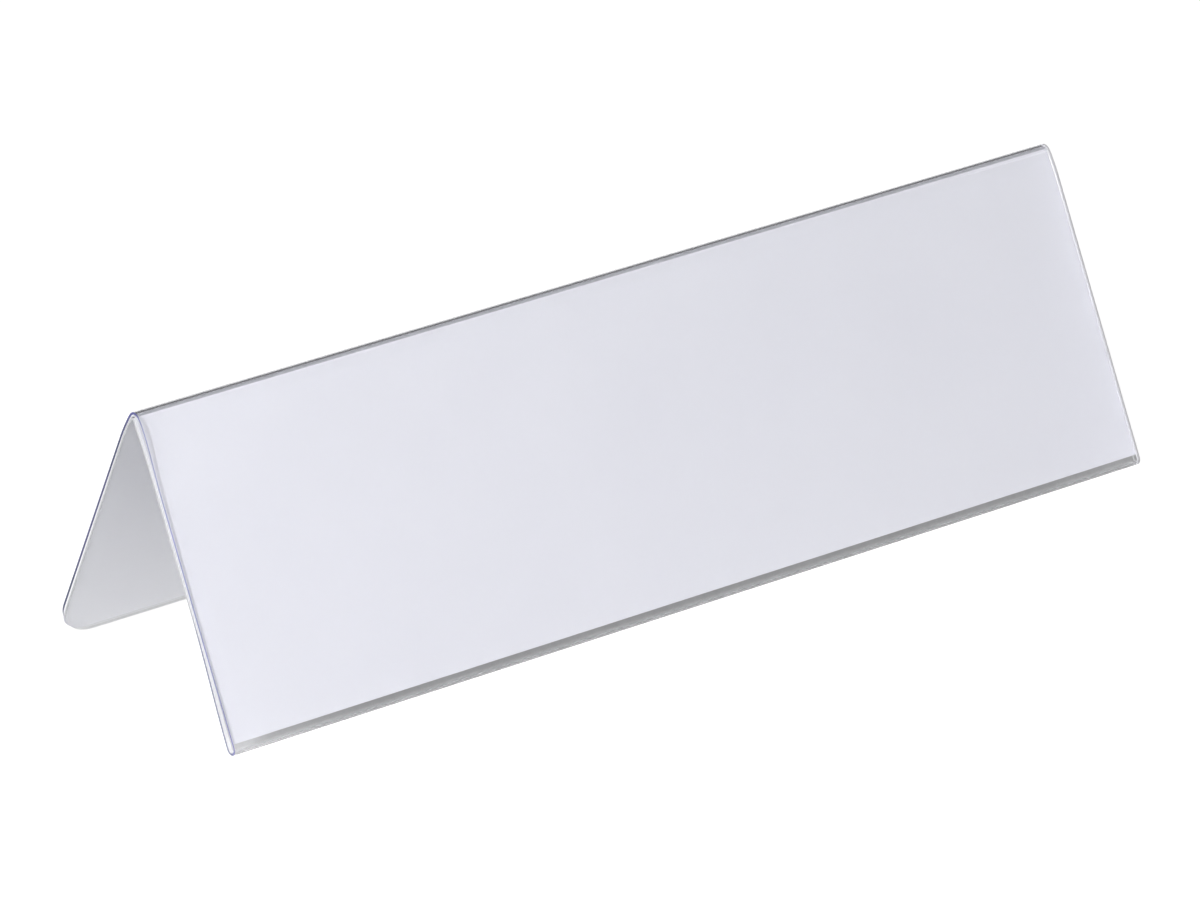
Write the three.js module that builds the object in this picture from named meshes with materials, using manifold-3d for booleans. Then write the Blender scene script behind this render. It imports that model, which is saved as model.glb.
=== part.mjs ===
// Tent-shaped desktop sign holder: one strip of clear rigid film folded into a double-walled
// sleeve, and the creased blank card that slides into it from either end.
//
// Millimetres, +Z up. X runs along the ridge, the front leg stands towards -Y.
// The origin is the middle of the footprint, on the desk.

import * as THREE from 'three';
import Module from 'manifold-3d';
import { mergeVertices } from 'three/addons/utils/BufferGeometryUtils.js';

// Card: a standard 122 x 210 mm insert, creased once into two 61 mm halves.
// It has slipped a little way down the front leg, so its crease is just in front of the ridge.
const CARD_LENGTH = 210;
const CARD_HALF = 61;
const CARD_SLIP = 0.7;
const CARD_THICKNESS = 0.2;
const CARD_CORNER_RADIUS = 5.6;

// Clear film
const FILM_THICKNESS = 0.45;
const FILM_CORNER_RADIUS = 8.5;
const SIDE_MARGIN = 0.3;
const REAR_MARGIN = 1.0;
const FRONT_PLAY = 1.5;

// Clear width of the pocket between the two layers. It is even on the rear leg and over the
// ridge. In front of the ridge it swells, then narrows to a waist and opens out to the fold.
const CARD_CLEARANCE = 0.13;
const POCKET_REAR = 0.46;
const POCKET_SWELL = 1.0;
const POCKET_WAIST = 0.75;
const POCKET_FOLD = 1.7;
const SWELL_RISE = 3.5;
const SWELL_FALL = 12.5;
const FOLD_FLARE = 24;

// Ridge bend of the outer face: a tight tip, a shoulder and a long ease into each straight leg.
// The opening angle is the one between the two legs.
const OPENING_ANGLE = THREE.MathUtils.degToRad(53.6);
const TIP_RADIUS = 1.95;
const TIP_TURN = THREE.MathUtils.degToRad(47);
const SHOULDER_RADIUS = 7;
const SHOULDER_TURN = THREE.MathUtils.degToRad(9);
const EASE_RADIUS = 40;

// Fineness of the bends
const BEND_STEPS = [10, 3, 4];
const FLARE_STEPS = 10;
const FOLD_STEP = THREE.MathUtils.degToRad(9);
const CORNER_STEPS = 14;

const HALF_OPENING = OPENING_ANGLE / 2;
const LEG_HEADING = Math.PI / 2 - HALF_OPENING;
const BENDS = [
  { radius: TIP_RADIUS, turn: TIP_TURN },
  { radius: SHOULDER_RADIUS, turn: SHOULDER_TURN },
  { radius: EASE_RADIUS, turn: LEG_HEADING - TIP_TURN - SHOULDER_TURN },
];
const BEND_LENGTH = BENDS.reduce((sum, bend) => sum + bend.radius * bend.turn, 0);
const FILM_LENGTH = CARD_LENGTH + 2 * SIDE_MARGIN;

// Point of the outer face at a distance from the ridge line, counted along the face and
// positive on the front leg, then moved inwards by a depth square to the face.
// u is towards the front and v is up, with the ridge line at the origin and both legs alike.
function facePoint(distance, depth) {
  const side = distance < 0 ? -1 : 1;
  let left = Math.abs(distance);
  let heading = 0;
  let u = 0;
  let v = 0;
  for (const { radius, turn } of BENDS) {
    const angle = Math.min(left / radius, turn);
    u += radius * (Math.sin(heading + angle) - Math.sin(heading));
    v += radius * (Math.cos(heading + angle) - Math.cos(heading));
    heading += angle;
    left -= radius * angle;
  }
  u += left * Math.cos(heading) - depth * Math.sin(heading);
  v -= left * Math.sin(heading) + depth * Math.cos(heading);
  return new THREE.Vector2(side * u, v);
}

// Falls smoothly from 1 to 0 as t goes from 0 to 1
function fade(t) {
  return 1 - THREE.MathUtils.smoothstep(t, 0, 1);
}

// The card follows the outer layer. Its middle line is shorter than the outer face round the
// bend, and that difference fixes where the card's edges are, and with them the film's.
const CARD_DEPTH = FILM_THICKNESS + CARD_CLEARANCE;
const BEND_ALLOWANCE = LEG_HEADING * (CARD_DEPTH + CARD_THICKNESS / 2);
const CARD_FRONT_EDGE = CARD_HALF + CARD_SLIP + BEND_ALLOWANCE;
const CARD_REAR_EDGE = -(CARD_HALF - CARD_SLIP + BEND_ALLOWANCE);
const FOLD_START = CARD_FRONT_EDGE + FRONT_PLAY - POCKET_FOLD / 2;
const REAR_END = CARD_REAR_EDGE - REAR_MARGIN;

// Clear width of the pocket at a distance from the ridge line
function pocketWidth(distance) {
  if (distance < SWELL_RISE) {
    return POCKET_SWELL - (POCKET_SWELL - POCKET_REAR) * fade(distance / SWELL_RISE);
  }
  const swell = (POCKET_SWELL - POCKET_WAIST) * fade((distance - SWELL_RISE) / SWELL_FALL);
  const flare = (POCKET_FOLD - POCKET_WAIST) * fade((FOLD_START - distance) / FOLD_FLARE);
  return POCKET_WAIST + swell + flare;
}

// Distances from the ridge line at which a face is sampled, from one end to the other
function stations(from, to) {
  const marks = [0];
  let start = 0;
  BENDS.forEach(({ radius, turn }, i) => {
    for (let k = 1; k <= BEND_STEPS[i]; k++) {
      marks.push(start + (radius * turn * k) / BEND_STEPS[i]);
    }
    start += radius * turn;
  });
  for (let k = 0; k <= FLARE_STEPS; k++) {
    marks.push(SWELL_RISE + (SWELL_FALL * k) / FLARE_STEPS);
    marks.push(FOLD_START - FOLD_FLARE * (1 - k / FLARE_STEPS));
  }
  const both = [...marks, ...marks.map((mark) => -mark), from, to];
  const inside = both.filter((mark) => mark >= from && mark <= to).sort((a, b) => a - b);
  return inside.filter((mark, i) => i === 0 || mark - inside[i - 1] > 1e-6);
}

// The front leg is the longer one, so the tent tips back until its round front fold and the
// inner corner of its rear edge both stand on the desk
const FOLD_RADIUS = FILM_THICKNESS + POCKET_FOLD / 2;
const FOLD_CENTRE = facePoint(FOLD_START, FOLD_RADIUS);
const FOLD_REACH = FOLD_RADIUS * Math.cos(FOLD_STEP / 2);
const REAR_CORNER = facePoint(REAR_END, 2 * FILM_THICKNESS + POCKET_REAR);
const FEET = FOLD_CENTRE.clone().sub(REAR_CORNER);
const TILT = Math.asin(FOLD_REACH / FEET.length()) - Math.atan2(FEET.y, FEET.x);
const FRONT_LEAN = HALF_OPENING + TILT;
const REAR_LEAN = HALF_OPENING - TILT;

// Half circle of the front fold, from the outer layer's side to the inner layer's.
// The steps lie evenly about the lowest point, so the fold stands on a level facet.
function foldArc(outerDepth, innerDepth) {
  const radius = (innerDepth - outerDepth) / 2;
  const centre = facePoint(FOLD_START, outerDepth + radius);
  const outwards = new THREE.Vector2(Math.cos(HALF_OPENING), Math.sin(HALF_OPENING));
  const down = new THREE.Vector2(Math.sin(HALF_OPENING), -Math.cos(HALF_OPENING));
  const lowest = Math.PI / 2 + FRONT_LEAN;
  const firstStep = Math.ceil(-lowest / FOLD_STEP);
  const points = [];
  for (let k = firstStep; ; k++) {
    const angle = lowest + (k + 0.5) * FOLD_STEP;
    if (angle >= Math.PI) break;
    if (angle > 0) {
      points.push(
        centre
          .clone()
          .addScaledVector(outwards, radius * Math.cos(angle))
          .addScaledVector(down, radius * Math.sin(angle)),
      );
    }
  }
  return points;
}

// Outline of the folded film: out along the outer face, round the fold, back along the
// innermost face, then the same way again on the two faces of the pocket
function filmOutline() {
  const along = stations(REAR_END, FOLD_START);
  const back = [...along].reverse();
  const innerLayer = (s) => FILM_THICKNESS + pocketWidth(s);
  const innermost = (s) => innerLayer(s) + FILM_THICKNESS;
  return [
    ...along.map((s) => facePoint(s, 0)),
    ...foldArc(0, innermost(FOLD_START)),
    ...back.map((s) => facePoint(s, innermost(s))),
    ...along.map((s) => facePoint(s, innerLayer(s))),
    ...foldArc(FILM_THICKNESS, innerLayer(FOLD_START)).reverse(),
    ...back.map((s) => facePoint(s, FILM_THICKNESS)),
  ];
}

function cardOutline() {
  const along = stations(CARD_REAR_EDGE, CARD_FRONT_EDGE);
  const back = [...along].reverse();
  return [
    ...along.map((s) => facePoint(s, CARD_DEPTH)),
    ...back.map((s) => facePoint(s, CARD_DEPTH + CARD_THICKNESS)),
  ];
}

// Where the part stands: tipped back, lowest point on the desk, footprint centred on the origin
function tipBack(point) {
  return point.clone().rotateAround(new THREE.Vector2(), TILT);
}

const film = filmOutline();
const footprint = new THREE.Box2().setFromPoints(film.map(tipBack));
const MIDDLE = footprint.getCenter(new THREE.Vector2()).x;
const DESK = footprint.min.y;

function stand(point) {
  return tipBack(point).sub(new THREE.Vector2(MIDDLE, DESK));
}

// Extrudes an outline along the ridge, with u turned to -Y and v to Z
function extrudeAlongRidge(outline, length) {
  const shape = new THREE.Shape(outline.map(stand));
  const geometry = new THREE.ExtrudeGeometry(shape, { depth: length, bevelEnabled: false });
  geometry.translate(0, 0, -length / 2);
  const axes = new THREE.Matrix4().makeBasis(
    new THREE.Vector3(0, -1, 0),
    new THREE.Vector3(0, 0, 1),
    new THREE.Vector3(-1, 0, 0),
  );
  return geometry.applyMatrix4(axes);
}

// What is cut away to round one rear corner of a sheet: a square corner less a quarter disc,
// pushed through both walls of the rear leg
function cornerCutter(radius, length, edgeDistance, side) {
  const spare = 1;
  const shape = new THREE.Shape();
  shape.moveTo(radius, 0);
  shape.absarc(radius, radius, radius, -Math.PI / 2, -Math.PI, true);
  shape.lineTo(-spare, radius);
  shape.lineTo(-spare, -spare);
  shape.lineTo(radius, -spare);
  const through = 2 * FILM_THICKNESS + POCKET_REAR + 2 * spare;
  const geometry = new THREE.ExtrudeGeometry(shape, {
    depth: through,
    bevelEnabled: false,
    curveSegments: CORNER_STEPS,
  });
  geometry.translate(0, 0, -spare);
  const foot = stand(facePoint(edgeDistance, 0));
  const corner = new THREE.Vector3((side * length) / 2, -foot.x, foot.y);
  const alongEdge = new THREE.Vector3(-side, 0, 0);
  const upLeg = new THREE.Vector3(0, -Math.sin(REAR_LEAN), Math.cos(REAR_LEAN));
  const inwards = new THREE.Vector3(0, -Math.cos(REAR_LEAN), -Math.sin(REAR_LEAN));
  const place = new THREE.Matrix4().makeBasis(alongEdge, upLeg, inwards).setPosition(corner);
  geometry.applyMatrix4(place);
  if (place.determinant() < 0) flipFaces(geometry);
  return geometry;
}

function flipFaces(geometry) {
  const position = geometry.getAttribute('position');
  for (let i = 0; i < position.count; i += 3) {
    const a = new THREE.Vector3().fromBufferAttribute(position, i);
    const b = new THREE.Vector3().fromBufferAttribute(position, i + 1);
    position.setXYZ(i, b.x, b.y, b.z);
    position.setXYZ(i + 1, a.x, a.y, a.z);
  }
}

const wasm = await Module();
wasm.setup();

function toSolid(geometry) {
  const bare = geometry.clone();
  bare.deleteAttribute('normal');
  bare.deleteAttribute('uv');
  const merged = mergeVertices(bare, 1e-5);
  return new wasm.Manifold(
    new wasm.Mesh({
      numProp: 3,
      vertProperties: new Float32Array(merged.getAttribute('position').array),
      triVerts: new Uint32Array(merged.index.array),
    }),
  );
}

function toGeometry(solid) {
  const mesh = solid.getMesh();
  const geometry = new THREE.BufferGeometry();
  geometry.setAttribute('position', new THREE.BufferAttribute(mesh.vertProperties, 3));
  geometry.setIndex(new THREE.BufferAttribute(mesh.triVerts, 1));
  geometry.computeVertexNormals();
  return geometry;
}

// A folded sheet with its two rear corners rounded
function roundedSheet(outline, length, edgeDistance, cornerRadius) {
  let sheet = toSolid(extrudeAlongRidge(outline, length));
  for (const side of [-1, 1]) {
    sheet = sheet.subtract(toSolid(cornerCutter(cornerRadius, length, edgeDistance, side)));
  }
  return toGeometry(sheet);
}

const clearFilm = new THREE.MeshStandardMaterial({
  color: 0xe6eaf4,
  roughness: 0.08,
  metalness: 0,
  transparent: true,
  opacity: 0.3,
});
const whiteCard = new THREE.MeshStandardMaterial({ color: 0xf4f4f2, roughness: 0.9, metalness: 0 });

const holder = new THREE.Mesh(
  roundedSheet(film, FILM_LENGTH, REAR_END, FILM_CORNER_RADIUS),
  clearFilm,
);
holder.name = 'clear_holder';

const card = new THREE.Mesh(
  roundedSheet(cardOutline(), CARD_LENGTH, CARD_REAR_EDGE, CARD_CORNER_RADIUS),
  whiteCard,
);
card.name = 'insert_card';

const signHolder = new THREE.Group();
signHolder.add(holder, card);

export default signHolder;
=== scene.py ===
"""Tent-shaped desktop sign holder: a folded sleeve of clear film round a creased white card.

Everything is in metres. X runs along the ridge, +Z is up and the front leg stands towards -Y.
"""

import math

import bmesh
import bpy
from mathutils import Matrix, Quaternion, Vector


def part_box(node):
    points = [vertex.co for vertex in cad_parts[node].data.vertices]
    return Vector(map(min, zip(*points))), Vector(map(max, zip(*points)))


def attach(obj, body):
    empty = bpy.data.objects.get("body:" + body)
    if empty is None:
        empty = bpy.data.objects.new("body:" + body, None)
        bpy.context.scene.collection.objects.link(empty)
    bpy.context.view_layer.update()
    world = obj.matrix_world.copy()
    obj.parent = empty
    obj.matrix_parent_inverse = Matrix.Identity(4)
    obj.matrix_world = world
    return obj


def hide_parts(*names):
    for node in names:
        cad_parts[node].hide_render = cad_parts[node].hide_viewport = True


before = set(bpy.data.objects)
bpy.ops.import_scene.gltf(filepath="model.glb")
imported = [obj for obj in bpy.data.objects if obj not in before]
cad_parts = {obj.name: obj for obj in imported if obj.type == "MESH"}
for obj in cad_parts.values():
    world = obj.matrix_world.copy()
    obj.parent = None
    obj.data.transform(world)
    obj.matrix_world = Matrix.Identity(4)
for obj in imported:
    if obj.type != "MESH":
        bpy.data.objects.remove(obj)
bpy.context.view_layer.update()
bpy.ops.object.select_all(action="DESELECT")

MM = 0.001

# Card, and the clear film round it
CARD_HALF = 61 * MM
CARD_SLIP = 0.7 * MM
CARD_THICKNESS = 0.2 * MM
CARD_CORNER = 5.6 * MM
FILM = 0.45 * MM
FILM_CORNER = 8.5 * MM
REAR_MARGIN = 1.0 * MM
FRONT_PLAY = 1.5 * MM
EDGE_SOFTNESS = 0.04 * MM
EDGE_STEPS = 2

# Clear width of the pocket: even on the rear leg and over the ridge, then a swell in front of
# the ridge, a waist, and an opening out to the front fold. The card bows a little into the swell.
CARD_CLEARANCE = 0.13 * MM
CARD_BOW = 0.25 * MM
CARD_SAG = 0.25 * MM
SAG_FALL = 38.5 * MM
POCKET_REAR = 0.46 * MM
POCKET_SWELL = 1.0 * MM
POCKET_WAIST = 0.75 * MM
POCKET_FOLD = 1.7 * MM
SWELL_RISE = 3.5 * MM
SWELL_FALL = 12.5 * MM
FOLD_FLARE = 24 * MM

# The outer layer's left cut end is drawn in a little round the ridge, where it was bent hot
END_DRAW_IN = 0.4 * MM
DRAW_IN_FLAT = 2 * MM
DRAW_IN_FALL = 17 * MM

# Ridge bend of the outer face: radius, turn and steps of the tip, the shoulder and the ease
HALF_OPENING = math.radians(53.6 / 2)
LEG_HEADING = math.pi / 2 - HALF_OPENING
TIP_TURN = math.radians(47)
SHOULDER_TURN = math.radians(9)
BENDS = (
    (1.95 * MM, TIP_TURN, 16),
    (7 * MM, SHOULDER_TURN, 5),
    (40 * MM, LEG_HEADING - TIP_TURN - SHOULDER_TURN, 5),
)
FLARE_STEPS = 16
LEAST_STEP = 0.02 * MM
FOLD_STEPS = 24
CORNER_STEPS = 16

# Vertices nearer than this are at the same place, cuts turn more sharply than the first angle,
# and turns gentler than the second are shaded smooth
SAME_PLACE = 0.002 * MM
CUT_ANGLE = math.radians(60)
SMOOTH_ANGLE = math.radians(12)

# The film's material slots: each face material is followed by that of its cut edge
INNER_REAR_SLOT = 2
INNER_FRONT_SLOT = 4
RIM_OFFSET = 1
WALL_DEPTH = "wall_depth"

CARD_MIDDLE = FILM + CARD_CLEARANCE + CARD_THICKNESS / 2
BEND_ALLOWANCE = LEG_HEADING * CARD_MIDDLE
CARD_FRONT_EDGE = CARD_HALF + CARD_SLIP + BEND_ALLOWANCE
CARD_REAR_EDGE = -(CARD_HALF - CARD_SLIP + BEND_ALLOWANCE)
FOLD_START = CARD_FRONT_EDGE + FRONT_PLAY - POCKET_FOLD / 2
REAR_END = CARD_REAR_EDGE - REAR_MARGIN


def face_point(distance, depth):
    """Point of the profile at a distance from the ridge along the outer face, positive on the
    front leg, and at a depth under that face: (towards the front, up), with the legs alike."""
    side = -1 if distance < 0 else 1
    left = abs(distance)
    heading = 0.0
    u = v = 0.0
    for radius, turn, _ in BENDS:
        angle = min(left / radius, turn)
        u += radius * (math.sin(heading + angle) - math.sin(heading))
        v += radius * (math.cos(heading + angle) - math.cos(heading))
        heading += angle
        left -= radius * angle
    u += left * math.cos(heading) - depth * math.sin(heading)
    v -= left * math.sin(heading) + depth * math.cos(heading)
    return Vector((side * u, v))


def fade(t):
    """Falls smoothly from 1 to 0 as t goes from 0 to 1."""
    t = min(max(t, 0.0), 1.0)
    return 1 - t * t * (3 - 2 * t)


def swell(distance):
    """1 where the pocket swells in front of the ridge, and 0 at the ridge and past the swell."""
    if distance < SWELL_RISE:
        return 1 - fade(distance / SWELL_RISE)
    return fade((distance - SWELL_RISE) / SWELL_FALL)


def pocket_width(distance):
    """Clear width between the two layers of film at a distance from the ridge."""
    if distance < SWELL_RISE:
        return POCKET_REAR + (POCKET_SWELL - POCKET_REAR) * swell(distance)
    flare = (POCKET_FOLD - POCKET_WAIST) * fade((FOLD_START - distance) / FOLD_FLARE)
    return POCKET_WAIST + (POCKET_SWELL - POCKET_WAIST) * swell(distance) + flare


def card_bow(distance):
    """How far the card bows down into the pocket: into the swell, and a little all down the leg."""
    if distance < SWELL_RISE:
        return (CARD_BOW + CARD_SAG) * swell(distance)
    sag = fade((distance - SWELL_RISE) / SAG_FALL)
    return CARD_BOW * swell(distance) + CARD_SAG * sag


def leg_stations(end, flares=()):
    """Distances from the ridge at which one leg's profile has a point."""
    marks = [end]
    start = 0.0
    for radius, turn, steps in BENDS:
        marks += [start + radius * turn * k / steps for k in range(1, steps + 1)]
        start += radius * turn
    for low, high in flares:
        marks += [low + (high - low) * k / FLARE_STEPS for k in range(FLARE_STEPS)]
    apart = [0.0]
    for mark in sorted(marks):
        if mark - apart[-1] > LEAST_STEP:
            apart.append(mark)
    return apart[1:]


SWELL_END = SWELL_RISE + SWELL_FALL
FLARES = ((SWELL_RISE, SWELL_END), (FOLD_START - FOLD_FLARE, FOLD_START))
FRONT_STATIONS = leg_stations(FOLD_START, FLARES)
REAR_STATIONS = leg_stations(-REAR_END)

# The tent tips back until its round front fold and its rear edge both stand on the desk
FOLD_RADIUS = FILM + POCKET_FOLD / 2
FOLD_CENTRE = face_point(FOLD_START, FOLD_RADIUS)
REAR_CORNER = face_point(REAR_END, 2 * FILM + POCKET_REAR)
FEET = FOLD_CENTRE - REAR_CORNER
TILT = math.asin(FOLD_RADIUS / FEET.length) - math.atan2(FEET.y, FEET.x)
FRONT_LEAN = HALF_OPENING + TILT


def tip_back(point):
    """A point of the upright profile, turned as the tent stands."""
    return Matrix.Rotation(TILT, 2) @ point


# The ridge line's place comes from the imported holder: the fold's front reaches its front face
holder_low, holder_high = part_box("clear_holder")
REACH = tip_back(face_point(REAR_END, 0)).x
RIDGE_Y = holder_high.y + REACH
RIDGE_Z = -tip_back(REAR_CORNER).y


def stand(point):
    """A point of the upright profile as (x, y, z) at the middle of the ridge."""
    u, v = tip_back(point)
    return Vector((0, RIDGE_Y - u, RIDGE_Z + v))


# Meshes


def folded_strip(name, points, low_x, high_x):
    """A strip of sheet folded along a path: a plane along the first step, then one extrusion
    of its far edge for each further step."""
    first, second = points[0], points[1]
    step = second - first
    bpy.ops.mesh.primitive_plane_add(size=1, location=(first + second) / 2)
    strip = bpy.context.object
    strip.name = name
    strip.location.x = (low_x + high_x) / 2
    strip.rotation_euler.x = math.atan2(step.z, step.y)
    strip.scale = (high_x - low_x, step.length, 1)
    bpy.ops.object.transform_apply(location=True, rotation=True, scale=True)
    bpy.ops.object.mode_set(mode="EDIT")
    bpy.ops.mesh.select_mode(type="VERT")
    select_vertices(strip, second)
    for here, there in zip(points[1:], points[2:]):
        bpy.ops.mesh.extrude_region_move(TRANSFORM_OT_translate={"value": there - here})
    bpy.ops.object.mode_set(mode="OBJECT")
    return strip


def select_vertices(piece, place, x=None):
    """Selects only the vertices at a place of the profile, and at x where it is given."""
    bpy.ops.mesh.select_all(action="DESELECT")
    mesh = bmesh.from_edit_mesh(piece.data)
    for vertex in mesh.verts:
        at_place = (vertex.co.yz - place.yz).length < SAME_PLACE
        at_x = x is None or abs(vertex.co.x - x) < SAME_PLACE
        vertex.select = at_place and at_x
    mesh.select_flush_mode()
    bmesh.update_edit_mesh(piece.data)


def round_corners(piece, places, ends, radius):
    """Rounds the sheet's corners at the given profile places, at both ends of the strip."""
    bpy.ops.object.mode_set(mode="EDIT")
    bpy.ops.mesh.select_mode(type="VERT")
    for place in places:
        for x in ends:
            select_vertices(piece, place, x)
            bpy.ops.mesh.bevel(
                affect="VERTICES", offset=radius, segments=CORNER_STEPS, profile=0.5
            )
    bpy.ops.object.mode_set(mode="OBJECT")


def thicken(piece, thickness):
    """Gives the sheet its wall, softens the cut edges and shades the bends smooth. One face of
    the wall is marked with the depth 1, and the other has 0."""
    bpy.ops.object.mode_set(mode="EDIT")
    bpy.ops.mesh.select_all(action="SELECT")
    bpy.ops.mesh.normals_make_consistent(inside=False)
    bpy.ops.object.mode_set(mode="OBJECT")
    wall = piece.modifiers.new("wall", "SOLIDIFY")
    wall.thickness = thickness
    wall.offset = 0
    wall.use_even_offset = True
    wall.use_rim = True
    wall.material_offset_rim = RIM_OFFSET if len(piece.data.materials) > RIM_OFFSET else 0
    soften = piece.modifiers.new("soften", "BEVEL")
    soften.width = EDGE_SOFTNESS
    soften.segments = EDGE_STEPS
    soften.limit_method = "ANGLE"
    soften.angle_limit = CUT_ANGLE
    soften.use_clamp_overlap = True
    one_face = len(piece.data.vertices)
    bpy.ops.object.modifier_apply(modifier="wall")
    depth = piece.data.attributes.new(WALL_DEPTH, "FLOAT", "POINT")
    for vertex in piece.data.vertices[one_face:]:
        depth.data[vertex.index].value = 1
    bpy.ops.object.modifier_apply(modifier="soften")
    bpy.ops.object.shade_smooth_by_angle(angle=SMOOTH_ANGLE)


def draw_in_left_end(film):
    """Draws the left cut end of the outer layer in round the ridge."""
    bpy.ops.object.mode_set(mode="EDIT")
    bpy.ops.mesh.select_mode(type="VERT")
    for distance in [-d for d in REAR_STATIONS] + [0] + FRONT_STATIONS:
        if abs(distance) < DRAW_IN_FLAT + DRAW_IN_FALL:
            shift = END_DRAW_IN * fade((abs(distance) - DRAW_IN_FLAT) / DRAW_IN_FALL)
            select_vertices(film, stand(face_point(distance, FILM / 2)), holder_low.x)
            bpy.ops.transform.translate(value=(shift, 0, 0))
    bpy.ops.object.mode_set(mode="OBJECT")


def film_path():
    """Middle line of the folded film, from the rear edge of the outer layer over the ridge,
    round the front fold and back over the ridge to the rear edge of the inner layer."""
    outer = [face_point(-d, FILM / 2) for d in reversed(REAR_STATIONS)]
    outer.append(face_point(0, FILM / 2))
    outer += [face_point(d, FILM / 2) for d in FRONT_STATIONS]
    radius = FOLD_RADIUS - FILM / 2
    outwards = Vector((math.cos(HALF_OPENING), math.sin(HALF_OPENING)))
    down = Vector((math.sin(HALF_OPENING), -math.cos(HALF_OPENING)))
    fold = []
    for k in range(1, FOLD_STEPS):
        angle = math.pi * k / FOLD_STEPS
        fold.append(
            FOLD_CENTRE + outwards * radius * math.cos(angle) + down * radius * math.sin(angle)
        )

    def inner_point(d):
        return face_point(d, FILM + pocket_width(d) + FILM / 2)

    inner = [inner_point(d) for d in reversed(FRONT_STATIONS)]
    inner.append(inner_point(0))
    inner += [inner_point(-d) for d in REAR_STATIONS]
    return [stand(point) for point in outer + fold + inner]


def card_path():
    """Middle line of the card, from its rear edge to its front edge."""
    rear = [d for d in REAR_STATIONS if d < -CARD_REAR_EDGE] + [-CARD_REAR_EDGE]
    front = [d for d in FRONT_STATIONS if d < CARD_FRONT_EDGE] + [CARD_FRONT_EDGE]
    distances = [-d for d in reversed(rear)] + [0] + front
    return [stand(face_point(d, CARD_MIDDLE + card_bow(d))) for d in distances]


def make_film():
    """The clear sleeve, with the inner layer's faces in materials of their own."""
    path = film_path()
    film = folded_strip("film_sleeve", path, holder_low.x, holder_high.x)
    outer = clear_film_material("clear_film_outer", RIGHT_END_STRIP, RIGHT_END_STRIP_TONE)
    # The white strip at the left end is painted light for the bright gap in the pocket
    inner_front = clear_film_material("clear_film_inner_front", LEFT_GAP_LIGHT_STRIP, LEFT_GAP_LIGHT_TONE)
    inner_rear = clear_film_material("clear_film_inner_rear")
    outer_cut = outer_edge_material()
    inner_cut = inner_edge_material()
    for material in (outer, outer_cut, inner_rear, inner_cut, inner_front, inner_cut):
        film.data.materials.append(material)
    fold_middle = len(REAR_STATIONS) + len(FRONT_STATIONS) + FOLD_STEPS // 2
    inner_ridge = 2 * len(FRONT_STATIONS) + len(REAR_STATIONS) + FOLD_STEPS
    for face in film.data.polygons[fold_middle:]:
        on_front_leg = face.index < inner_ridge
        face.material_index = INNER_FRONT_SLOT if on_front_leg else INNER_REAR_SLOT
    draw_in_left_end(film)
    round_corners(film, [path[0], path[-1]], (holder_low.x, holder_high.x), FILM_CORNER)
    thicken(film, FILM)
    return film


def make_card():
    """The creased card, with its rear corners rounded."""
    low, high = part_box("insert_card")
    path = card_path()
    card = folded_strip("paper_card", path, low.x, high.x)
    round_corners(card, [path[0]], (low.x, high.x), CARD_CORNER)
    thicken(card, CARD_THICKNESS)
    return card


# Materials
#
# A pattern is the scale and detail of its noise, a bump is its strength and height, and a blend
# from 0 to 1 along an axis of the object is the two places between which it goes

FILM_COLOUR = (0.985, 0.988, 1.0)
FILM_IOR = 1.53
FILM_HAZE = (60, 2)
FILM_ROUGHNESS = (0.02, 0.06)
FILM_WAVES = (25, 1)
FILM_WAVE_BUMP = (0.05, 0.4 * MM)
FILM_SHADOW = (0.97, 0.973, 0.985)
# Matt strips where the film is clear: at the left end a white one on the inner layer, painted light
# for the bright gap in the pocket, and at the right end a grey one on the outer layer, in the
# card's tone up to the cut
LEFT_GAP_LIGHT_STRIP = (-104.3 * MM, -104.7 * MM)
LEFT_GAP_LIGHT_TONE = (0.98, 0.98, 1.0)
RIGHT_END_STRIP = (104.6 * MM, 104.95 * MM)
RIGHT_END_STRIP_TONE = (0.79, 0.79, 0.82)
END_STRIP_GLOW_THROUGH = 0.05

# Tints of the film's cut edges, each uneven between two colours, and where they meet
# These tints are painted light and shade: they change from place to place for the light the cut
# edges gather and the dark lines seen at them
REAR_BLUE = ((0.05, 0.065, 0.13), (0.08, 0.075, 0.22))
RIDGE_BLUE = ((0.08, 0.09, 0.24), (0.10, 0.10, 0.34))
FRONT_LILAC = ((0.27, 0.30, 0.47), (0.33, 0.32, 0.61))
UPPER_LILAC = ((0.30, 0.32, 0.47), (0.36, 0.36, 0.59))
PALE_CUT = ((0.86, 0.86, 0.88), (0.93, 0.93, 0.96))
GREY_CUT = ((0.60, 0.61, 0.63), (0.69, 0.69, 0.72))
DARK_CUT = ((0.23, 0.25, 0.35), (0.29, 0.30, 0.44))
CUT_ROUGHNESS = 0.45
CUT_STREAKS = (90, 3)
CUT_UNEVENNESS = (-0.6, 1.6)
OUTER_CUT_GLOW = 0.2
INNER_CUT_GLOW = 0.3
LIP_START = 0.58
REAR_FOOT = (3 * MM, 8 * MM)
ABOVE_FOLD = (17 * MM, 25 * MM)
UPPER_LEG = (36 * MM, 47 * MM)
RIDGE_BEND = (52.5 * MM, 55.5 * MM)
OUTER_RIDGE = (RIDGE_Y - 2.5 * MM, RIDGE_Y - 0.5 * MM)
INNER_RIDGE = (-2 * MM, 2 * MM)
RIGHT_HALF = (-10 * MM, 10 * MM)

CARD_CLOUD = (40, 3)
CARD_TONES = ((0.80, 0.80, 0.85), (0.83, 0.83, 0.875))
CARD_FIBRES = (1800, 6)
CARD_ROUGHNESS = (0.75, 0.9)
CARD_FIBRE_BUMP = (0.15, 0.05 * MM)
CARD_GLOW_THROUGH = 0.32
CARD_TOP = RIDGE_Z - CARD_MIDDLE
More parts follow.
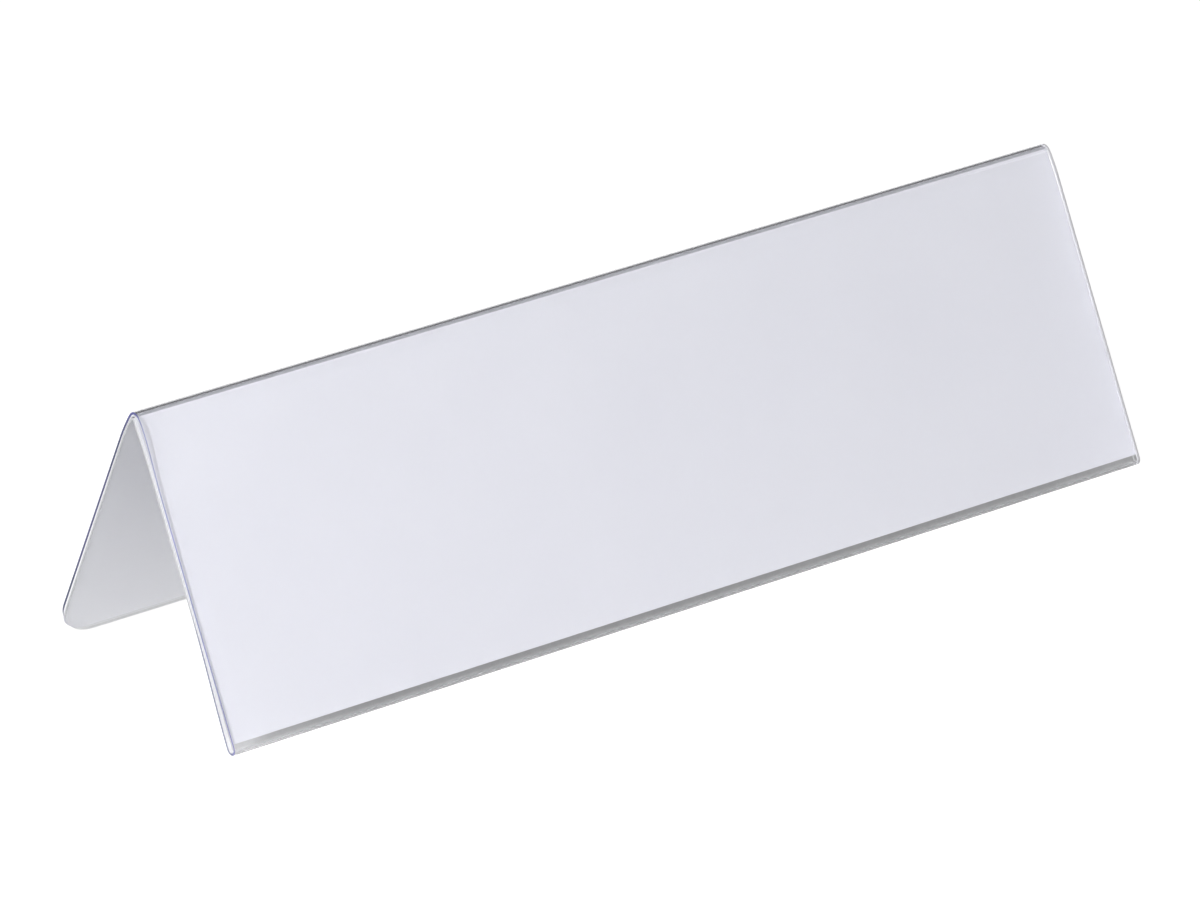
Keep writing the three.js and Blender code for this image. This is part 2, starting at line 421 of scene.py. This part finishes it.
# Shade painted along the card's crease: the band under the card's top, its grey, and where it stops
# near the left end
CREASE_SHADE_DEPTH = 0.13 * MM
CREASE_SHADE_BAND = (CARD_TOP - CREASE_SHADE_DEPTH, CARD_TOP)
CREASE_SHADE_TONE = (0.38, 0.38, 0.42)
CREASE_SHADE_END = (-104.2 * MM, -104.9 * MM)

# Floor: greys and glows, and where the painted shade on the floor under the tent ends on each side
LIT_FLOOR = 0.9
FLOOR_SHADOW = 0.2
FLOOR_GLOW = 0.95
SHADED_FLOOR = 0.48
SHADED_FLOOR_GLOW = 0.04
SHADE_EDGES = (
    ("X", (-70 * MM, -160 * MM)),
    ("X", (106 * MM, 112 * MM)),
    ("Y", (-31 * MM, -42 * MM)),
    ("Y", (27 * MM, 34 * MM)),
)
BOUNCE_GLOW = 1.72
BOUNCE_TINT = (1.0, 1.0, 0.90)
WHITE = (1, 1, 1)
FLAG_TONE = (0.13, 0.13, 0.143)


def new_material(name):
    """A new material and its empty node tree."""
    material = bpy.data.materials.new(name)
    material.use_nodes = True
    material.node_tree.nodes.clear()
    return material, material.node_tree


def give(tree, socket, value):
    """Gives a socket a number, a colour or the output of another node."""
    if isinstance(value, bpy.types.NodeSocket):
        tree.links.new(value, socket)
    elif isinstance(value, tuple):
        socket.default_value = (*value, 1)
    else:
        socket.default_value = value


def add_node(tree, kind, values):
    """A node with the given values in its named sockets."""
    node = tree.nodes.new("ShaderNode" + kind)
    for name, value in values.items():
        give(tree, node.inputs[name], value)
    return node


def object_place(tree):
    """Places in the object's own metres."""
    return tree.nodes.new("ShaderNodeTexCoord").outputs["Object"]


def kind_of_ray(tree, name):
    """What the named output says of the ray that meets the surface."""
    return tree.nodes.new("ShaderNodeLightPath").outputs[name]


def noise(tree, scale, detail):
    """Cloudy pattern from 0 to 1."""
    values = {"Scale": scale, "Detail": detail, "Vector": object_place(tree)}
    return add_node(tree, "TexNoise", values).outputs["Fac"]


def spread(tree, value, low, high):
    """Maps a value from 0 to 1 onto low to high."""
    values = {"To Min": low, "To Max": high, "Value": value}
    return add_node(tree, "MapRange", values).outputs["Result"]


def rise(tree, axis, places):
    """0 before the first place along an axis of the object and 1 past the second, smooth
    between them."""
    split = add_node(tree, "SeparateXYZ", {"Vector": object_place(tree)})
    values = {"From Min": places[0], "From Max": places[1], "Value": split.outputs[axis]}
    span = add_node(tree, "MapRange", values)
    span.interpolation_type = "SMOOTHSTEP"
    return span.outputs["Result"]


def calculate(tree, operation, first, second):
    """The result of one sum on two values."""
    node = tree.nodes.new("ShaderNodeMath")
    node.operation = operation
    give(tree, node.inputs[0], first)
    give(tree, node.inputs[1], second)
    return node.outputs["Value"]


def blend_tints(tree, factor, first, second):
    """A colour between two colours."""
    mix = tree.nodes.new("ShaderNodeMix")
    mix.data_type = "RGBA"
    for name, value in (("Factor", factor), ("A", first), ("B", second)):
        give(tree, mix.inputs[name], value)
    return mix.outputs["Result"]


def blend_shaders(tree, factor, first, second):
    """A shader between two shaders."""
    mix = add_node(tree, "MixShader", {"Fac": factor})
    tree.links.new(first, mix.inputs[1])
    tree.links.new(second, mix.inputs[2])
    return mix.outputs["Shader"]


def plain_shader(tree, kind, colour):
    """A Diffuse, Translucent or Transparent shader of one colour."""
    return add_node(tree, "Bsdf" + kind, {"Color": colour}).outputs["BSDF"]


def bump(tree, height, strength, distance):
    """Normals that follow a pattern of heights."""
    values = {"Strength": strength, "Distance": distance, "Height": height}
    return add_node(tree, "Bump", values).outputs["Normal"]


def cover(tree, shader):
    """Makes a shader the material's surface."""
    add_node(tree, "OutputMaterial", {"Surface": shader})


def clear_film_material(name, end_strip=None, end_strip_tone=None):
    """Clear rigid film: glossy, a little uneven from the rolls, and it lets lamps through.
    Where it is given two places along the ridge, the film turns into a matt strip between them."""
    material, tree = new_material(name)
    values = {
        "Base Color": FILM_COLOUR,
        "Transmission Weight": 1,
        "IOR": FILM_IOR,
        "Roughness": spread(tree, noise(tree, *FILM_HAZE), *FILM_ROUGHNESS),
        "Normal": bump(tree, noise(tree, *FILM_WAVES), *FILM_WAVE_BUMP),
    }
    film = add_node(tree, "BsdfPrincipled", values).outputs["BSDF"]
    if end_strip is not None:
        film = matt_end_strip(tree, film, end_strip, end_strip_tone)
    through = plain_shader(tree, "Transparent", FILM_SHADOW)
    cover(tree, blend_shaders(tree, kind_of_ray(tree, "Is Shadow Ray"), film, through))
    return material


def matt_end_strip(tree, clear, places, tone):
    """Clear film that turns into a matt strip from one place along the ridge to another, near a cut
    end.
    """
    front = plain_shader(tree, "Diffuse", tone)
    behind = plain_shader(tree, "Translucent", tone)
    end_strip = blend_shaders(tree, END_STRIP_GLOW_THROUGH, front, behind)
    return blend_shaders(tree, rise(tree, "X", places), clear, end_strip)


def cut_edge(name, tint_of, glow):
    """Cut edge of the film: satin, its tint uneven along the cut, with some light behind it.
    Lamps shine through the cut but for its lip, the part past LIP_START of the wall's depth."""
    material, tree = new_material(name)
    tint = tint_of(tree, spread(tree, noise(tree, *CUT_STREAKS), *CUT_UNEVENNESS))
    values = {"Base Color": tint, "Roughness": CUT_ROUGHNESS}
    cut = add_node(tree, "BsdfPrincipled", values).outputs["BSDF"]
    cut = blend_shaders(tree, glow, cut, plain_shader(tree, "Translucent", tint))
    depth = tree.nodes.new("ShaderNodeAttribute")
    depth.attribute_name = WALL_DEPTH
    before_lip = calculate(tree, "LESS_THAN", depth.outputs["Fac"], LIP_START)
    lamp_ray = calculate(tree, "MULTIPLY", before_lip, kind_of_ray(tree, "Is Shadow Ray"))
    cover(tree, blend_shaders(tree, lamp_ray, cut, plain_shader(tree, "Transparent", WHITE)))
    return material


def outer_edge_material():
    """The outer layer's cut edge, tinted in painted light and shade for the light it gathers along
    the sheet: dark blue down the rear leg, strong blue at the ridge, and lilac down the front
    leg, palest near the ridge, all at the left end. The rear edge and the right end are pale."""

    def tint(tree, uneven):
        pale = blend_tints(tree, uneven, *PALE_CUT)
        rear = blend_tints(tree, uneven, *REAR_BLUE)
        rear = blend_tints(tree, rise(tree, "Z", REAR_FOOT), pale, rear)
        ridge = blend_tints(tree, uneven, *RIDGE_BLUE)
        rear = blend_tints(tree, rise(tree, "Z", RIDGE_BEND), rear, ridge)
        front = blend_tints(tree, uneven, *FRONT_LILAC)
        upper = blend_tints(tree, uneven, *UPPER_LILAC)
        front = blend_tints(tree, rise(tree, "Z", UPPER_LEG), front, upper)
        left = blend_tints(tree, rise(tree, "Y", OUTER_RIDGE), front, rear)
        return blend_tints(tree, rise(tree, "X", RIGHT_HALF), left, pale)

    return cut_edge("film_cut_edge", tint, OUTER_CUT_GLOW)


def inner_edge_material():
    """The inner layer's cut edge is pale grey in painted light and shade, palest at the rear edge,
    and at the left end it is darker at the front fold."""

    def tint(tree, uneven):
        grey = blend_tints(tree, uneven, *GREY_CUT)
        dark = blend_tints(tree, uneven, *DARK_CUT)
        # Painted shade: darker towards the front fold
        front = blend_tints(tree, rise(tree, "Z", ABOVE_FOLD), dark, grey)
        pale = blend_tints(tree, uneven, *PALE_CUT)
        rear = blend_tints(tree, rise(tree, "Z", REAR_FOOT), pale, grey)
        left = blend_tints(tree, rise(tree, "Y", INNER_RIDGE), front, rear)
        return blend_tints(tree, rise(tree, "X", RIGHT_HALF), left, grey)

    return cut_edge("film_inner_edge", tint, INNER_CUT_GLOW)


def card_material():
    """Smooth white card with a fine fibre grain, and painted shade along its crease but for the
    left end.
    """
    material, tree = new_material("white_card")
    white = blend_tints(tree, noise(tree, *CARD_CLOUD), *CARD_TONES)
    # Painted shade: grey along the crease at the card's top, where less light falls
    crease_shaded = blend_tints(tree, rise(tree, "Z", CREASE_SHADE_BAND), white, CREASE_SHADE_TONE)
    tone = blend_tints(tree, rise(tree, "X", CREASE_SHADE_END), crease_shaded, white)
    fibres = noise(tree, *CARD_FIBRES)
    values = {
        "Base Color": tone,
        "Roughness": spread(tree, fibres, *CARD_ROUGHNESS),
        "Normal": bump(tree, fibres, *CARD_FIBRE_BUMP),
    }
    card = add_node(tree, "BsdfPrincipled", values).outputs["BSDF"]
    through = plain_shader(tree, "Translucent", tone)
    cover(tree, blend_shaders(tree, CARD_GLOW_THROUGH, card, through))
    return material


def background_rays(tree):
    """1 for the rays that show the background: camera, glossy and transmission rays."""
    either = kind_of_ray(tree, "Is Camera Ray")
    for name in ("Is Glossy Ray", "Is Transmission Ray"):
        either = calculate(tree, "MAXIMUM", either, kind_of_ray(tree, name))
    return either


def glowing_floor(tree, grey, glow, glow_tint=WHITE):
    """Matt floor of a grey, with a glow added."""
    matt = plain_shader(tree, "Diffuse", (grey, grey, grey))
    light = add_node(tree, "Emission", {"Color": glow_tint, "Strength": glow})
    both = tree.nodes.new("ShaderNodeAddShader")
    tree.links.new(matt, both.inputs[0])
    tree.links.new(light.outputs["Emission"], both.inputs[1])
    return both.outputs["Shader"]


def floor_material():
    """Plain white floor with a light shadow, which glows white to the camera and in the film.
    Under the tent the film shows it with painted shade, and from there it lights the card's
    underside."""
    material, tree = new_material("pale_floor")
    lit = plain_shader(tree, "Diffuse", (LIT_FLOOR, LIT_FLOOR, LIT_FLOOR))
    shown = glowing_floor(tree, FLOOR_SHADOW, FLOOR_GLOW)
    shaded = glowing_floor(tree, SHADED_FLOOR, SHADED_FLOOR_GLOW)
    bounce = glowing_floor(tree, SHADED_FLOOR, BOUNCE_GLOW, BOUNCE_TINT)
    # Painted shade: the film shows the floor darker inside the tent's footprint, set by place
    outside = 0
    for axis, places in SHADE_EDGES:
        outside = calculate(tree, "MAXIMUM", outside, rise(tree, axis, places))
    in_film = blend_shaders(tree, outside, shaded, shown)
    in_film = blend_shaders(tree, kind_of_ray(tree, "Diffuse Depth"), in_film, bounce)
    seen = blend_shaders(tree, background_rays(tree), lit, in_film)
    cover(tree, blend_shaders(tree, kind_of_ray(tree, "Is Camera Ray"), seen, shown))
    return material


def flag_material():
    """Dull grey board."""
    material, tree = new_material("grey_flag")
    cover(tree, add_node(tree, "Emission", {"Color": FLAG_TONE}).outputs["Emission"])
    return material


# Studio: directions in degrees, distances and sizes in metres

CAMERA_AIM = Vector((-0.00177, 0.00072, 0.02097))
CAMERA_DISTANCE = 1.6695
CAMERA_AZIMUTH = -36.971
CAMERA_ELEVATION = 25.56
CAMERA_ROLL = 0.8615
CAMERA_LENS = 268.006
SENSOR_WIDTH = 36
CAMERA_REACH = 50

# Each lamp's azimuth, elevation, distance, width, height and watts
LAMPS = {
    "key_lamp": (-73, 24, 1.5, 0.1, 0.9, 16.8),
    "fill_lamp": (75, 30, 2.2, 1.2, 1.2, 6.5),
    "back_lamp": (172, 6, 2.2, 1.6, 0.35, 36),
}
FRONT_SLOPE = Vector((0, math.sin(FRONT_LEAN), math.cos(FRONT_LEAN)))
STRAIGHT_UP = Vector((0, 0, 1))
STUDIO_TONE = (0.8, 0.8, 0.8)
STUDIO_LIGHT = 0.25
STUDIO_SHOWN = 1.0
FLOOR_SIZE = 40
FLOOR_DROP = 0.2 * MM
FLAG_PLACE = (0.5, 0.9, 0.45)
FLAG_SIZE = (3.0, 0.9, 1)


def direction(azimuth, elevation):
    """The way from the object to a place round it. The azimuth is 0 in front."""
    a, e = math.radians(azimuth), math.radians(elevation)
    return Vector((math.sin(a) * math.cos(e), -math.cos(a) * math.cos(e), math.sin(e)))


def set_up(name, data, place, turn):
    """A camera or a lamp at its place."""
    thing = bpy.data.objects.new(name, data)
    bpy.context.scene.collection.objects.link(thing)
    thing.location = place
    thing.rotation_mode = "QUATERNION"
    thing.rotation_quaternion = turn
    return thing


def make_camera():
    """Long lens, from the front left and above."""
    data = bpy.data.cameras.new("camera")
    data.lens = CAMERA_LENS
    data.sensor_width = SENSOR_WIDTH
    data.clip_end = CAMERA_REACH
    back = direction(CAMERA_AZIMUTH, CAMERA_ELEVATION)
    roll = Quaternion((0, 0, 1), math.radians(CAMERA_ROLL))
    turn = (-back).to_track_quat("-Z", "Y") @ roll
    place = CAMERA_AIM + back * CAMERA_DISTANCE
    bpy.context.scene.camera = set_up("camera", data, place, turn)


def make_lamp(name, upright=STRAIGHT_UP):
    """A soft lamp that faces the object, its height as near to the upright as that allows."""
    azimuth, elevation, distance, width, height, watts = LAMPS[name]
    data = bpy.data.lights.new(name, "AREA")
    data.shape = "RECTANGLE"
    data.size = width
    data.size_y = height
    data.energy = watts
    back = direction(azimuth, elevation)
    side = upright.cross(back).normalized()
    turn = Matrix((side, back.cross(side), back)).transposed()
    return set_up(name, data, back * distance, turn.to_quaternion())


def make_world():
    """Even dim light all round, brighter where rays show the background."""
    world = bpy.data.worlds.new("studio")
    bpy.context.scene.world = world
    world.use_nodes = True
    tree = world.node_tree
    tree.nodes.clear()
    strength = spread(tree, background_rays(tree), STUDIO_LIGHT, STUDIO_SHOWN)
    background = add_node(tree, "Background", {"Color": STUDIO_TONE, "Strength": strength})
    add_node(tree, "OutputWorld", {"Surface": background.outputs["Background"]})


def make_flag():
    """Grey board behind the holder. Only reflections and refractions in the film show it, and
    it draws the dark line along the ridge."""
    bpy.ops.mesh.primitive_plane_add(size=1, location=FLAG_PLACE)
    flag = bpy.context.object
    flag.name = "flag"
    flag.scale = FLAG_SIZE
    flag.rotation_euler.x = math.pi / 2
    flag.data.materials.append(flag_material())
    flag.visible_camera = False
    flag.visible_diffuse = False
    flag.visible_shadow = False


def make_studio():
    """Floor, flag, lamps and the light all round."""
    bpy.ops.mesh.primitive_plane_add(size=FLOOR_SIZE, location=(0, 0, -FLOOR_DROP))
    floor = bpy.context.object
    floor.name = "floor"
    floor.data.materials.append(floor_material())
    make_flag()
    make_lamp("key_lamp", FRONT_SLOPE)
    make_lamp("fill_lamp")
    back_lamp = make_lamp("back_lamp")
    back_lamp.visible_glossy = False
    back_lamp.visible_transmission = False
    make_world()


make_camera()
make_studio()

film = make_film()
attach(film, "holder")
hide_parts("clear_holder")

card = make_card()
card.data.materials.append(card_material())
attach(card, "card")
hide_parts("insert_card")

bpy.context.scene.view_settings.view_transform = "Standard"
